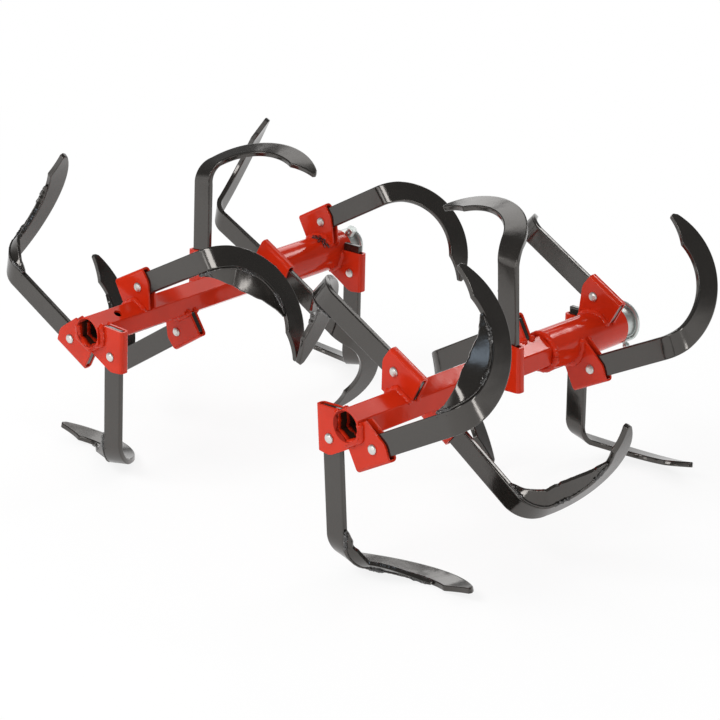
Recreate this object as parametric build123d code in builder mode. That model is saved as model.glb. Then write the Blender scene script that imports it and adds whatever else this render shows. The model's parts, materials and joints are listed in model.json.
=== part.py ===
from build123d import *
import os
from math import acos, asin, atan2, cos, degrees, hypot, pi, radians, sin

# tube and socket
hex_bore = 32.0
hex_wall = 3.5
hex_corner = 2.5
hex_length = 395.0
mouth_radius = 18.9
mouth_depth = 3.5
sleeve_overlap = 52.0
sleeve_length = 141.0
sleeve_wall = 4.0
sleeve_edge = 0.8
collar_wall = 4.0
collar_inside = 40.0
collar_outside = 29.0
collar_edge = 1.2
cross_hole_radius = 5.5
cross_hole_station = 45.0
cross_heading = 120.0

# flat bar and the folded clip that holds it
bar_width = 28.0
bar_thick = 7.0
bar_root = 11.0
end_bar_root = 17.0
clip_plate = 3.0
clip_root = 13.5
end_clip_shift = 6.5
clip_exit_low = 29.0
clip_exit_peak = 45.0
clip_exit_fold = 42.0
clip_peak_depth = 20.0
clip_peak_radius = 16.0
clip_low = 1.5
clip_fold_radius = 5.0
clip_clear = 3.5
rivet_radius = 4.0
rivet_along = 24.0
rivet_head_radius = 6.2
rivet_head_height = 3.4

# hooked blade with a wing: runs in millimetres, turns in degrees about the bar, its width and its face
winged_straight = 146.0
winged_bend = 46.0
winged_bend_turns = (29.0, 72.5, 15.5)
winged_blade = 164.0
winged_blade_turns = (9.0, 31.0, 101.0)

# hooked blade without a wing
plain_straight = 138.5
plain_bend = 34.0
plain_bend_turns = (26.0, 65.5, 12.0)
plain_blade = 162.0
plain_blade_turns = (-7.0, 31.0, 106.5)

# tips, wings and the steps of the swept shapes
lead_run = 24.0
tip_cut = 31.0
tip_width = 7.0
tip_nick = 5.0
wing_width = 26.0
wing_slope = 33.0
wing_start = 3.0
wing_end = 0.66
wing_root = 0.36
wing_tail = 0.14
bar_sections = 29
wing_sections = 19

# clip pin and its wire bail
pin_offset = 10.5
pin_radius = 5.0
pin_neck_radius = 3.2
pin_ball_radius = 4.6
pin_head_radius = 6.5
pin_head_height = 11.0
pin_shank_below = 1.5
pin_below = 9.0
wire_radius = 2.5
bail_corner = 3.0

# clearances
seat_gap = 0.04
run_gap = 0.05
weld_gap = 0.4
bail_gap = 0.6
latch_gap = 0.35

# one entry for each tine: direction in degrees, and station from the open end or from the sleeve's start
directions = [273, 29, 152.5, 327.5, 92.5, 209.5, 151, 27, 270.5]
tube_stations = [14.5, 11.5, 91, 166.5, 241]
before_sleeve = 28.0
sleeve_stations = [107, 53.5, 125]
winged = 4

# rest position of the two rotors
right_roll = -0.5
left_roll = 1.0
pair_distance = 453.5
pair_shift = 0.4
pair_yaw = 3.9

sleeve_start = hex_length - sleeve_overlap
rotor_length = sleeve_start + sleeve_length
stations = tube_stations + [sleeve_start - before_sleeve]
first_on_sleeve = len(stations)
stations = stations + [sleeve_start + station for station in sleeve_stations]
end_tine = len(stations) - 1
hex_af = hex_bore + 2 * hex_wall
hex_flat = hex_af / 2
corner_reach = (hex_flat - hex_corner) / cos(radians(30))
sleeve_inner = corner_reach + hex_corner + seat_gap
sleeve_outer = sleeve_inner + sleeve_wall
collar_outer = sleeve_inner - seat_gap
collar_inner = collar_outer - collar_wall
slot = bar_thick + 2 * seat_gap
clip_thick = slot + 2 * clip_plate
rivet_ball = (rivet_head_radius**2 + rivet_head_height**2) / (2 * rivet_head_height)
rivet_turn = asin(rivet_head_radius / rivet_ball) / 2
rivet_shoulder = (rivet_ball * sin(rivet_turn), rivet_head_height - rivet_ball * (1 - cos(rivet_turn)))
pin_station = rotor_length + pin_offset
hinge_height = collar_outer + pin_head_height / 2
bail_radius = collar_outer + bail_gap + wire_radius
bail_side = pin_head_radius + wire_radius + latch_gap
latch_side = pin_radius + wire_radius + latch_gap
bail_stop = degrees(atan2(bail_corner, bail_radius) - acos(latch_side / hypot(bail_corner, bail_radius)))

os.makedirs("parts", exist_ok=True)


def rotor_frame(hand, origin, yaw, roll):
    across = Vector(cos(radians(yaw)), sin(radians(yaw)), 0)
    axle = Vector(-sin(radians(yaw)), cos(radians(yaw)), 0)
    return hand, Vector(*origin), across, axle, roll


def heading(rotor, angle):
    # direction in the end plane, counted the same way round on both hands
    hand, origin, across, axle, roll = rotor
    turn = radians(angle + roll)
    return across * (hand * cos(turn)) + Vector(0, 0, sin(turn))


def end_plane(rotor, angle, station):
    # x along the heading, y towards the fold of a clip, z along the tube
    hand, origin, across, axle, roll = rotor
    return Plane(origin + axle * station, x_dir=heading(rotor, angle), z_dir=axle * hand)


def seat_of(index):
    if index >= first_on_sleeve:
        return sleeve_outer + seat_gap
    # a bar that is turned a little from its facet lies on a corner of the tube
    lean = abs(directions[index] % 60 - 30)
    return corner_reach * cos(radians(30 - lean)) + hex_corner + seat_gap


def bar_middle(index):
    return seat_of(index) + bar_width / 2


def root_of(index):
    # the bar next to the collar stands further out of its clip
    return end_bar_root if index == end_tine else bar_root


def shift_of(index):
    return end_clip_shift if index == end_tine else 0


def blade_of(index):
    # straight run, run and turns of the bend, run and turns of the blade
    if index < winged:
        return winged_straight, winged_bend, winged_bend_turns, winged_blade, winged_blade_turns
    return plain_straight, plain_bend, plain_bend_turns, plain_blade, plain_blade_turns


def bend(start, run, turns, share):
    # point and frame after a share of a bend that turns at a steady rate
    spot, along, width, face = start
    spin = along * turns[0] + width * turns[1] + face * turns[2]
    angle = radians(spin.length)
    axle = spin.normalized()
    straight = axle * along.dot(axle)
    side = along - straight
    lift = axle.cross(side)
    move = straight * share
    move = move + side * (sin(angle * share) / angle)
    move = move + lift * ((1 - cos(angle * share)) / angle)
    line = Axis((0, 0, 0), axle)
    turned = [v.rotate(line, spin.length * share) for v in (along, width, face)]
    return spot + move * run, *turned


def frame_at(index, distance):
    # local frame at a distance past the straight part: x along the bar, y to the hook, z to the near end
    straight, bend_run, bend_turns, blade_run, blade_turns = blade_of(index)
    begin = (Vector(straight, 0, 0), Vector(1, 0, 0), Vector(0, 1, 0), Vector(0, 0, 1))
    if distance <= 0:
        return begin[0] + begin[1] * distance, *begin[1:]
    turned = bend(begin, bend_run, bend_turns, min(distance / bend_run, 1))
    if distance <= bend_run:
        return turned
    return bend(turned, blade_run, blade_turns, (distance - bend_run) / blade_run)


def spread(first, last, count):
    return [first + (last - first) * k / (count - 1) for k in range(count)]


def to_world(rotor, index, v):
    hand, origin, across, axle, roll = rotor
    out = heading(rotor, directions[index])
    hook = heading(rotor, directions[index] + 90)
    return out * v.X + hook * v.Y - axle * v.Z


def world_frame(rotor, index, distance):
    hand, origin, across, axle, roll = rotor
    spot, *ways = frame_at(index, distance)
    spot = spot - Vector(0, bar_middle(index), 0)
    spot = origin + axle * stations[index] + to_world(rotor, index, spot)
    return spot, *[to_world(rotor, index, way) for way in ways]


def save(builder, name):
    builder.part.label = name
    export_step(builder.part, "parts/" + name + ".step")


def facets(rotor, size, corner):
    # rounded hexagon of the tube, drawn in the plane of its open end
    with BuildSketch(end_plane(rotor, 0, 0)) as outline:
        RegularPolygon(size, 6, major_radius=False, rotation=30)
        fillet(outline.vertices(), corner)
    return outline.sketch


def cross_plane(rotor, station):
    # plane across a pin that stands through the tube
    middle = end_plane(rotor, cross_heading, station)
    return Plane(middle.origin, x_dir=middle.z_dir, z_dir=middle.x_dir)


def make_tube(rotor, side):
    hand = rotor[0]
    with BuildPart() as tube:
        extrude(facets(rotor, hex_flat, hex_corner), amount=hand * hex_length)
        with BuildSketch(end_plane(rotor, 0, 0)):
            RegularPolygon(hex_bore / 2, 6, major_radius=False, rotation=30)
        extrude(amount=hand * hex_length, mode=Mode.SUBTRACT)
        with BuildSketch(end_plane(rotor, 0, 0)):
            Circle(mouth_radius)
        with BuildSketch(end_plane(rotor, 0, mouth_depth)):
            Circle(hex_bore / 2)
        loft(mode=Mode.SUBTRACT)
        with BuildSketch(cross_plane(rotor, cross_hole_station)):
            Circle(cross_hole_radius)
        extrude(amount=hex_af, both=True, mode=Mode.SUBTRACT)
    save(tube, side + "_hex_tube")


def make_sleeve(rotor, side):
    hand = rotor[0]
    with BuildPart() as sleeve:
        with BuildSketch(end_plane(rotor, 0, sleeve_start)):
            Circle(sleeve_outer)
        extrude(amount=hand * sleeve_length)
        chamfer(sleeve.edges().filter_by(GeomType.CIRCLE), sleeve_edge)
        with BuildSketch(end_plane(rotor, 0, sleeve_start)):
            Circle(sleeve_inner)
        extrude(amount=hand * sleeve_length, mode=Mode.SUBTRACT)
    save(sleeve, side + "_socket_sleeve")


def make_collar(rotor, side):
    hand = rotor[0]
    length = collar_inside + collar_outside
    with BuildPart() as collar:
        with BuildSketch(end_plane(rotor, 0, rotor_length - collar_inside)):
            Circle(collar_outer)
        extrude(amount=hand * length)
        chamfer(collar.edges().filter_by(GeomType.CIRCLE), collar_edge)
        with BuildSketch(end_plane(rotor, 0, rotor_length - collar_inside)):
            Circle(collar_inner)
        extrude(amount=hand * length, mode=Mode.SUBTRACT)
        with BuildSketch(cross_plane(rotor, pin_station)):
            Circle(pin_radius + seat_gap)
        extrude(amount=2 * collar_outer, both=True, mode=Mode.SUBTRACT)
    save(collar, side + "_end_collar")


def make_pin(rotor, side):
    across = cross_plane(rotor, pin_station)
    up = across.z_dir
    ball = across.origin - up * (collar_outer + pin_below)
    shank = across.origin - up * (collar_outer + pin_shank_below)
    head = across.origin + up * (collar_outer + seat_gap)
    hinge = across.origin + up * hinge_height
    with BuildPart() as pin:
        with BuildSketch(Plane(shank, x_dir=across.x_dir, z_dir=up)):
            Circle(pin_radius)
        extrude(amount=2 * collar_outer + pin_shank_below + seat_gap)
        with BuildSketch(Plane(ball, x_dir=across.x_dir, z_dir=up)):
            Circle(pin_neck_radius)
        extrude(amount=pin_below)
        with Locations(ball):
            Sphere(pin_ball_radius)
        with BuildSketch(Plane(head, x_dir=across.x_dir, z_dir=up)):
            Circle(pin_head_radius)
        extrude(amount=pin_head_height)
        with BuildSketch(Plane(hinge, x_dir=up, z_dir=across.x_dir)):
            Circle(wire_radius + run_gap)
        extrude(amount=2 * pin_head_radius, both=True, mode=Mode.SUBTRACT)
    save(pin, side + "_clip_pin")


def make_bail(rotor, side):
    # both bails close round the same side, so the loop is drawn without the hand
    hand, origin, across, axle, roll = rotor
    up = heading(rotor, cross_heading)
    out = axle.cross(up)
    back = axle * -1
    middle = origin + axle * (pin_station + bail_side)
    top = middle + up * hinge_height
    spoke = out * cos(radians(bail_stop)) + up * sin(radians(bail_stop))
    onward = axle.cross(spoke)
    low = middle + spoke * bail_radius
    with BuildPart() as bail:
        with BuildSketch(Plane(top + back * bail_corner, x_dir=up, z_dir=back)):
            Circle(wire_radius)
        extrude(amount=bail_side + pin_head_radius + wire_radius - bail_corner)
        with BuildSketch(Plane(top + back * bail_corner, x_dir=up, z_dir=axle)):
            Circle(wire_radius)
        revolve(axis=Axis(top + (back - up) * bail_corner, out), revolution_arc=-90)
        with BuildSketch(Plane(top - up * bail_corner, x_dir=axle, z_dir=up * -1)):
            Circle(wire_radius)
        extrude(amount=hinge_height - bail_radius - bail_corner)
        with BuildSketch(Plane(middle + up * bail_radius, x_dir=up, z_dir=out)):
            Circle(wire_radius)
        revolve(axis=Axis(middle, axle), revolution_arc=90 - bail_stop)
        with BuildSketch(Plane(low, x_dir=axle, z_dir=onward)):
            Circle(wire_radius)
        revolve(axis=Axis(low + back * bail_corner, spoke), revolution_arc=-90)
        with BuildSketch(Plane(low + (back + onward) * bail_corner, x_dir=onward, z_dir=back)):
            Circle(wire_radius)
        extrude(amount=2 * bail_side - bail_corner)
    save(bail, side + "_clip_bail")


def make_bracket(rotor, side, index):
    top = seat_of(index) + bar_width + clip_clear + clip_plate
    shift = shift_of(index)
    plane = end_plane(rotor, directions[index], stations[index])
    with BuildPart() as bracket:
        with BuildSketch(plane) as cheek:
            with BuildLine():
                Polyline(
                    (shift - clip_root, clip_low),
                    (shift - clip_root, top),
                    (shift + clip_exit_fold, top),
                    (shift + clip_exit_peak, top - clip_peak_depth),
                    (clip_exit_low, clip_low),
                    close=True,
                )
            make_face()
            fillet(cheek.vertices().sort_by(Axis.X)[-1], clip_peak_radius)
        extrude(amount=clip_thick / 2, both=True)
        fold = bracket.edges().filter_by(lambda e: abs(plane.to_local_coords(e.center()).Y - top) < 0.1)
        fold = fold.filter_by(lambda e: abs(plane.to_local_coords(e.center()).Z) > clip_plate)
        fillet(fold, clip_fold_radius)
        with BuildSketch(plane):
            with Locations((0, (top - clip_plate) / 2)):
                Rectangle(4 * clip_exit_peak, top - clip_plate)
        extrude(amount=slot / 2, both=True, mode=Mode.SUBTRACT)
        if index >= first_on_sleeve:
            with BuildSketch(plane):
                Circle(sleeve_outer + seat_gap)
            extrude(amount=clip_thick, both=True, mode=Mode.SUBTRACT)
        else:
            seat = facets(rotor, hex_flat + seat_gap, hex_corner + seat_gap)
            extrude(seat, amount=rotor[0] * hex_length, both=True, mode=Mode.SUBTRACT)
        with BuildSketch(plane):
            with Locations((rivet_along, bar_middle(index))):
                Circle(rivet_radius + seat_gap)
        extrude(amount=clip_thick, both=True, mode=Mode.SUBTRACT)
    save(bracket, side + "_bracket_" + str(index + 1))


def make_tine(rotor, side, index):
    hand = rotor[0]
    straight, bend_run, bend_turns, blade_run, blade_turns = blade_of(index)
    whole = bend_run + blade_run
    placed = [world_frame(rotor, index, distance) for distance in spread(-lead_run, whole, bar_sections)]
    plane = end_plane(rotor, directions[index], stations[index])
    tip = placed[-1]
    tip_plane = Plane(tip[0], x_dir=tip[1], z_dir=tip[3])
    back = world_frame(rotor, index, whole - tip_cut)
    edge = tip_plane.to_local_coords(back[0] + back[2] * (bar_width / 2))
    with BuildPart() as tine:
        for spot, along, width, face in placed:
            with BuildSketch(Plane(spot, x_dir=width, z_dir=along)):
                Rectangle(bar_width, bar_thick)
        loft()
        with BuildSketch(tip_plane):
            with BuildLine():
                Polyline(
                    (edge.X, edge.Y),
                    (0, hand * (tip_width - bar_width / 2)),
                    (tip_cut, hand * (tip_width - bar_width / 2)),
                    (tip_cut, hand * 2 * bar_width),
                    (edge.X, hand * 2 * bar_width),
                    close=True,
                )
            make_face()
            with BuildLine():
                Polyline(
                    (-tip_nick, -hand * bar_width / 2),
                    (tip_nick, hand * (tip_nick - bar_width / 2)),
                    (tip_nick, -hand * bar_width),
                    (-tip_nick, -hand * bar_width),
                    close=True,
                )
            make_face()
        extrude(amount=2 * bar_thick, both=True, mode=Mode.SUBTRACT)
        end = straight - lead_run
        with BuildSketch(plane):
            with Locations(((end - root_of(index)) / 2, bar_middle(index))):
                Rectangle(end + root_of(index), bar_width)
        extrude(amount=bar_thick / 2, both=True)
        with BuildSketch(plane):
            with Locations((rivet_along, bar_middle(index))):
                Circle(rivet_radius + seat_gap)
        extrude(amount=clip_thick, both=True, mode=Mode.SUBTRACT)
    save(tine, side + "_tine_" + str(index + 1))


def make_wing(rotor, side, index):
    # crescent plate that stands on the inner edge from the bend to past the middle of the blade
    hand = rotor[0]
    base = bar_width / 2 + weld_gap
    reach = spread(wing_start, winged_bend + wing_end * winged_blade, wing_sections)
    with BuildPart() as wing:
        for distance, phase in zip(reach, spread(wing_root, pi - wing_tail, wing_sections)):
            spot, along, width, face = world_frame(rotor, index, distance)
            share = sin(phase)
            half = share * bar_thick / 2
            rise = base + wing_width * share * cos(radians(wing_slope))
            drop = -hand * wing_width * share * sin(radians(wing_slope))
            with BuildSketch(Plane(spot, x_dir=width, z_dir=along)):
                with BuildLine():
                    Polyline((base, -half), (rise, drop - half), (rise, drop + half), (base, half), close=True)
                make_face()
        loft()
    save(wing, side + "_wing_" + str(index + 1))


def make_rivets(rotor, side):
    with BuildPart() as rivets:
        for index in range(len(directions)):
            plane = end_plane(rotor, directions[index], stations[index])
            spot = plane.from_local_coords((rivet_along, bar_middle(index), 0))
            x_dir = plane.x_dir
            with BuildSketch(Plane(spot, x_dir=x_dir, z_dir=plane.z_dir)):
                Circle(rivet_radius)
            extrude(amount=clip_thick / 2 + seat_gap, both=True)
            for end in (1, -1):
                way = plane.z_dir * end
                face = spot + way * (clip_thick / 2 + seat_gap)
                with BuildSketch(Plane(face, x_dir=x_dir, z_dir=x_dir.cross(way))):
                    with BuildLine():
                        Line((0, 0), (rivet_head_radius, 0))
                        ThreePointArc((rivet_head_radius, 0), rivet_shoulder, (0, rivet_head_height))
                        Line((0, rivet_head_height), (0, 0))
                    make_face()
                revolve(axis=Axis(face, way))
    save(rivets, side + "_tine_rivets")


def make_rotor(rotor, side):
    make_tube(rotor, side)
    make_sleeve(rotor, side)
    make_collar(rotor, side)
    make_pin(rotor, side)
    make_bail(rotor, side)
    make_rivets(rotor, side)
    for index in range(len(directions)):
        make_bracket(rotor, side, index)
        make_tine(rotor, side, index)
    for index in range(winged):
        make_wing(rotor, side, index)


make_rotor(rotor_frame(1, (0, 0, 0), 0, right_roll), "right")
make_rotor(rotor_frame(-1, (-pair_distance, pair_shift, 0), pair_yaw, left_roll), "left")
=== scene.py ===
import json
from collections import namedtuple
from functools import partialmethod
from math import asin, cos, pi, radians, sin, tan, tau

import bmesh
import bpy
from bpy.props import FloatProperty, FloatVectorProperty, IntProperty, PointerProperty
from mathutils import Matrix, Quaternion, Vector, noise


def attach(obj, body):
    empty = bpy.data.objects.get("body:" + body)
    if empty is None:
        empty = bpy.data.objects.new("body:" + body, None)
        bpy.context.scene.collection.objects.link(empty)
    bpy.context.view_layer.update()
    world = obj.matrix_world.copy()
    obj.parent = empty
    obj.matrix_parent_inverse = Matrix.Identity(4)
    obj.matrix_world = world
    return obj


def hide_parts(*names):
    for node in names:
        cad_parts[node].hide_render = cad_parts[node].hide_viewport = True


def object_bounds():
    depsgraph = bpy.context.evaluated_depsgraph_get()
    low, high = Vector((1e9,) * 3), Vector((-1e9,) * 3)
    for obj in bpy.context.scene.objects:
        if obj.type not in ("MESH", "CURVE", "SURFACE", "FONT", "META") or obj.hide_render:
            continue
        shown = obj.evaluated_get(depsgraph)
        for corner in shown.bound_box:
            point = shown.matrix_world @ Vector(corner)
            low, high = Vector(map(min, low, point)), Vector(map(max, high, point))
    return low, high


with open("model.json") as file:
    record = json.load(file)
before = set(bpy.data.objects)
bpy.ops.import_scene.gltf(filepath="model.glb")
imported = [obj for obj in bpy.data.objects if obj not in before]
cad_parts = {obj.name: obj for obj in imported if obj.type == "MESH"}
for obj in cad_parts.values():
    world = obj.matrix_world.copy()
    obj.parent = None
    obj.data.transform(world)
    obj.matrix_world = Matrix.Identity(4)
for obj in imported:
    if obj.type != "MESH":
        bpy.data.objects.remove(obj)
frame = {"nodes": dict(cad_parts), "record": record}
cad_box = [list(corner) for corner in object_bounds()]

bl_info = {
    "name": "Tine rotor pair",
    "version": (1, 0, 0),
    "blender": (4, 5, 0),
    "location": "View3D > Sidebar > Tine rotors",
    "description": "Dresses a mirrored pair of tiller rotors with bars, clips, rivets, welds and paint",
    "category": "Object",
}

# one entry for each tine: direction in degrees and station along the tube
directions = (273, 29, 152.5, 327.5, 92.5, 209.5, 151, 27, 270.5)
stations = (0.0145, 0.0115, 0.091, 0.1665, 0.241, 0.315, 0.450, 0.3965, 0.468)
first_on_sleeve = 6
winged = 4

# hooked blades: runs in metres, turns in degrees about the bar, its width and its face
Blade = namedtuple("Blade", "straight bend bend_turns run run_turns")
winged_blade = Blade(0.146, 0.046, (29, 72.5, 15.5), 0.164, (9, 31, 101))
plain_blade = Blade(0.1385, 0.034, (26, 65.5, 12), 0.162, (-7, 31, 106.5))

# how far the bars and clips reach behind the middle of the tube; the last pair sits further out
bar_root = 0.0126
end_bar_root = 0.017
end_clip_shift = 0.0065

# tube and sleeve
seat_gap = 0.00004
hex_flat = 0.0195
hex_corner = 0.0025
corner_reach = (hex_flat - hex_corner) / cos(radians(30))
sleeve_start = 0.343
sleeve_wall = 0.004
sleeve_outer = corner_reach + hex_corner + seat_gap + sleeve_wall

# outline of a clip's cheek, and the rivet through it
clip_root = 0.0135
clip_low = 0.0015
clip_exit_low = 0.029
clip_exit_peak = 0.045
clip_exit_fold = 0.042
clip_peak_depth = 0.020
clip_peak_radius = 0.016
clip_clear = 0.0035
clip_rim_gap = 0.0004
rivet_along = 0.024

# crescent plates: a part of a sine along the blade, behind a thin point that leads up to it
wing_start = 0.003
wing_end = 0.66
wing_lead = 0.014
point_width = 0.0024
point_slope = 0.62
wing_phase = 0.36
wing_sweep = pi - 0.5
wing_sections = 111
wing_sunk = 0.0006
wing_least = 0.002
# shares of the bar's edge and of the plate's thickness
wing_edge = 0.6
wing_land = 0.7
wing_thin = 0.6
# flame cut of the free edge: teeth, waves and nicks for each metre, and their depths
teeth_pitch, teeth_depth = 260, 0.0003
wave_pitch, wave_depth = 70, 0.0008
nick_pitch, nick_depth, nick_level = 48, 0.006, 0.26
cut_depth = 0.0005

# columns round a swept section: each corner has an arc and a land on both sides
arc_points = 4
corner_columns = arc_points + 2
ring_columns = 4 * corner_columns
row_ways = ("width", "face")
row_values = ("low", "high", "half", "radius", "close")
end_round = 0.9
least_radius = 0.00005
same_point = 0.000004

# shapes of rivet heads, beads and droplets
dome_power = 0.72
dent_share = 0.92
least_head = 0.95
ripple_steps = 5.0
thin_end = 0.45
least_drop = 0.35

# weld beads: paint, slot, share of the bead's radius, lumps, their grain, thin ends and ripple
Bead = namedtuple("Bead", "paint slot share lumps grain taper ripple", defaults=(330.0, 0.004, 0.16))
sleeve_bead = Bead("red_enamel", "red_paint", 1.6, 0.0030, 140.0, 0.0, 0.03)
clip_bead = Bead("red_enamel", "red_paint", 1.7, 0.0044, 120.0, ripple=0.03)
seam_bead = Bead("black_enamel", "black_paint", 0.5, 0.0012)
stitch_bead = Bead("weld_black", "black_paint", 0.9, 0.0046, 300.0, ripple=0.06)
scorched_bead = Bead("scorched_weld", "red_paint", 0.62, 0.0034, 420.0, 0.002)

# where the welds lie: offsets, shares along a wing with counts or shifts, and droplets beside them
sleeve_weld_back = 0.0002
sleeve_weld_sunk = 0.9
sleeve_weld_points = 72
clip_weld_out = 0.0003
seam_out = 0.0004
seam_span = (0.01, 0.98, 44)
stitch_spans = ((0.0, 0.15, 0), (0.40, 0.56, 1), (0.76, 0.93, -1))
stitch_shift = 0.03
stitch_points = 12
spatter = {"Spacing": 0.0024, "Throw": 0.007, "Size": 0.0008}

# burnt star on the left sleeve
scorch_station = 0.4345
scorch_heading = 113
scorch_turn = 0.3
scorch_arms = 7
scorch_reach = (0.001, 0.0095, 6)
scorch_stretch = 100
scorch_lift = 0.0005

# looks of the paints and platings, and tones that are mixed into them
Enamel = namedtuple("Enamel", "colour rough mirror warmth chip wear deep")
red_gloss = Enamel("red", 0.09, 0.27, (1, 0.96, 0.92), (0.30, 0.27, 0.25), 0.05, 0.9)
black_gloss = Enamel("black", 0.12, 0.98, (1, 0.95, 0.9), (0.16, 0.15, 0.145), 0.14, 0.75)
Plating = namedtuple("Plating", "colour rough grain films")
rivet_film = Plating("zinc", 0.34, 900.0, ((0.5, (0.74, 0.71, 0.67)),))
clip_films = ((0.36, (0.60, 0.70, 0.66)), (0.47, (0.72, 0.74, 0.56)), (0.58, (0.62, 0.72, 0.80)))
clip_film = Plating("passivated", 0.24, 600.0, clip_films)
# light grey that is painted on the crests of weld lumps as painted highlights (glints)
painted_glint_grey = (0.62, 0.60, 0.58, 1)
# tones of the bore lining: overspray at the mouth, then darker tones further in that are bare steel and
# painted shade
overspray = (0.34, 0.016, 0.006, 1)
thin_spray_in_shade = (0.06, 0.014, 0.008, 1)
bare_steel_in_shade = (0.035, 0.021, 0.014, 1)
soot = (0.012, 0.011, 0.011, 1)
burnt_red = (0.45, 0.02, 0.008, 1)
white = (1, 1, 1, 1)

# soft boxes round the parts: angles and sizes in degrees, glow, the surfaces they light and their tint
lamp_values = "name azimuth elevation width height glow lights tint"
Lamp = namedtuple("Lamp", lamp_values, defaults=("all", (1, 1, 1)))
lamps = (
    Lamp("key", -26, 47, 60, 20, 5.2, "matt"),
    Lamp("rim", 178, 48, 32, 16, 1.3),
    Lamp("rim core", 176, 43, 22, 4, 6.0),
    Lamp("back left", -134, 48, 16, 24, 1.3),
    Lamp("far left", -142, 24, 34, 22, 1.5),
    Lamp("low left", -21, 2, 7, 6, 2.0),
    Lamp("front", -4, 18, 15, 18, 6.0, "gloss"),
    Lamp("low right", 77, 3, 9, 9, 7.0),
    Lamp("window", 66, 37, 8, 9, 2.2, tint=(0.6, 0.78, 1)),
)
lamp_distance = 6.0
watts_per_glow = 4
stage_middle = (-0.22, 0.24)
aim_level = 0.02
floor_reach = 9.0
# share of plain white in the floor near the parts and in its mirror images, and light of the room
floor_near = 0.85
floor_mirrored = 0.6
room_glow = 0.55

up = Vector((0, 0, 1))


def metres(name, description, default):
    return FloatProperty(name=name, description=description, default=default, unit="LENGTH")


def degrees(name, description, default):
    return FloatProperty(name=name, description=description, default=radians(default), subtype="ANGLE")


def swatch(name, description, default):
    return FloatVectorProperty(name=name, description=description, default=default, subtype="COLOR")


class RotorSizes(bpy.types.PropertyGroup):
    """Sizes of the bars, clips, rivets and welds"""

    bar_width: metres("Bar width", "Width of the flat bar", 0.028)
    bar_thick: metres("Bar thickness", "Thickness of the flat bar", 0.007)
    bar_edge: metres("Bar edge", "Radius of the rolled edges", 0.0012)
    tip_cut: metres("Tip cut", "Length of the slanted cut at the tip", 0.031)
    tip_width: metres("Tip width", "Width that the cut leaves", 0.007)
    tip_nick: metres("Tip nick", "Length of the small cut on the other edge", 0.005)
    wing_width: metres("Wing width", "Width of a crescent plate", 0.026)
    wing_thick: metres("Wing thickness", "Thickness of a crescent plate", 0.0052)
    wing_slope: degrees("Wing slope", "Slope of a crescent plate", 33)
    clip_plate: metres("Clip plate", "Thickness of the folded clips", 0.003)
    clip_fold: metres("Clip fold", "Outer radius of the fold", 0.005)
    clip_edge: metres("Clip edge", "Rounding of the cut edges", 0.0007)
    rivet_radius: metres("Rivet head", "Radius of a rivet head", 0.0062)
    rivet_height: metres("Rivet height", "Height of a rivet head", 0.0034)
    weld_radius: metres("Weld bead", "Radius of a weld bead", 0.0026)
    weld_pitch: metres("Weld ripple", "Distance between the ripples", 0.0023)
    seed: IntProperty(name="Seed", description="Seed of the spatter and rivet heads", default=7)


class RotorColours(bpy.types.PropertyGroup):
    """Colours of the finishes"""

    red: swatch("Red enamel", "Paint of tubes and clips", (0.60, 0.026, 0.006))
    black: swatch("Black enamel", "Paint of the tines", (0.0125, 0.011, 0.0095))
    zinc: swatch("Zinc", "Plating of the rivets", (0.66, 0.63, 0.59))
    passivated: swatch("Passivated zinc", "Plating of the collars and pins", (0.80, 0.84, 0.83))
    floor: swatch("Floor", "Floor under the parts", (0.95, 0.95, 0.95))


class RotorView(bpy.types.PropertyGroup):
    """Where the camera stands"""

    azimuth: degrees("Azimuth", "Angle of the camera round the parts", 44.02)
    elevation: degrees("Elevation", "Angle above the horizon", 20.0)
    distance: metres("Distance", "Depth of the near end of the tube", 2.32075)
    aside: metres("Aside", "Camera to the right of the near end", 0.01649)
    above: metres("Above", "Camera above the near end", 0.07419)
    lens: FloatProperty(name="Lens", description="Focal length in millimetres", default=104.4)


class Rotor:
    """Where one rotor lies: its side, hand, near end, and the directions across and along its tube."""

    def __init__(self, side, hand, roll):
        mount = next(m for m in frame["record"]["mounts"] if m["name"] == side + "_hex_bore")
        self.side = side
        self.hand = hand
        self.roll = roll
        self.body = side + "_rotor"
        self.origin = Vector(mount["pos_m"])
        self.axle = -Vector(mount["axis"]).normalized()
        self.across = self.axle.cross(up)
        self.tines = [Tine(self, index) for index in range(len(directions))]

    def heading(self, angle):
        """Direction out from the tube, with the angle counted the mirrored way on the left hand."""
        turn = radians(angle + self.roll)
        return self.across * (self.hand * cos(turn)) + up * sin(turn)


class Tine:
    """One bar of a rotor: where it stands, its blade, and how far it and its clip reach back."""

    def __init__(self, rotor, index):
        self.rotor = rotor
        self.index = index
        self.spot = rotor.origin + rotor.axle * stations[index]
        self.out = rotor.heading(directions[index])
        self.hook = rotor.heading(directions[index] + 90)
        self.blade = winged_blade if index < winged else plain_blade
        last = index == len(directions) - 1
        self.bar_root = end_bar_root if last else bar_root
        self.clip_shift = end_clip_shift if last else 0.0
        self.on_sleeve = index >= first_on_sleeve
        self.lean = directions[index] % 60 - 30
        # from the middle of the tube to the edge of a bar that lies on it
        self.seat = sleeve_outer + seat_gap
        if not self.on_sleeve:
            self.seat = corner_reach * cos(radians(30 - abs(self.lean))) + hex_corner + seat_gap

    def name(self, part):
        return f"{self.rotor.side}_{part}_{self.index + 1}"

    def turn(self, v):
        return self.out * v[0] + self.hook * v[1] - self.rotor.axle * v[2]

    def place(self, v):
        """Point of the tine's own frame: out along the bar, to the hook, and towards the near end."""
        return self.spot + self.turn(v)

    def bar_frame(self, distance, width):
        """Middle of the bar and its three directions at a distance past the straight part."""
        spot, *ways = bar_frame(self.blade, distance)
        spot = spot - Vector((0, self.seat + width / 2, 0))
        return self.place(spot), *[self.turn(way) for way in ways]


rotors = (Rotor("right", 1, -0.5), Rotor("left", -1, 1.0))


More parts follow.
